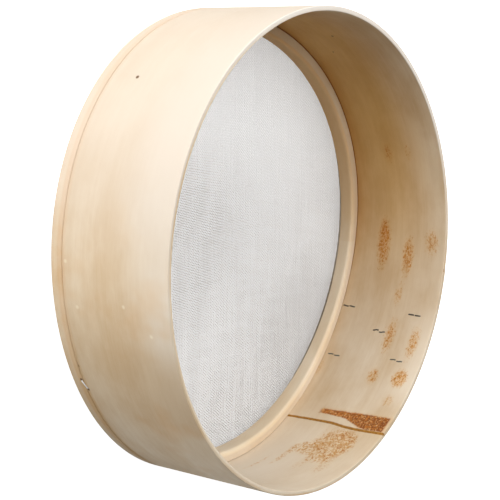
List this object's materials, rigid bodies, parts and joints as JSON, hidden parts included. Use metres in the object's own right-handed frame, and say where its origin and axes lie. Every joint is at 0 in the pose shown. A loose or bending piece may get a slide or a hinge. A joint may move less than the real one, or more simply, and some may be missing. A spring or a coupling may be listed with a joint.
{
  "type": "soil sieve",
  "caption": "Round wooden soil sieve: a shallow bentwood drum, open at the top, with fine woven wire cloth stretched across its lower end.",
  "frame": {"origin": "centre of the drum at its lower, wire cloth end", "axes": "+Z along the drum from the wire cloth end to the open mouth; +X and +Y across it, with the hoop's lap joint between 305 and 355 degrees from +X"},
  "size_m": [0.4003, 0.4001, 0.12],
  "materials": {
    "hoop_wood": "raw, smooth",
    "ring_wood": "raw, smooth",
    "cloth_wire": "galvanised, matt",
    "staple_wire": "bright"
  },
  "bodies": {
    "root": {"main_hoop": "hoop_wood", "rear_band": "hoop_wood", "inner_ring": "ring_wood", "wire_cloth": "cloth_wire", "cloth_hem": "cloth_wire", "lap_staple_rear_low": "staple_wire", "lap_staple_rear_high": "staple_wire", "lap_staple_middle": "staple_wire", "lap_staple_front_low": "staple_wire", "lap_staple_front_high": "staple_wire", "band_staple": "staple_wire"}
  },
  "joints": []
}
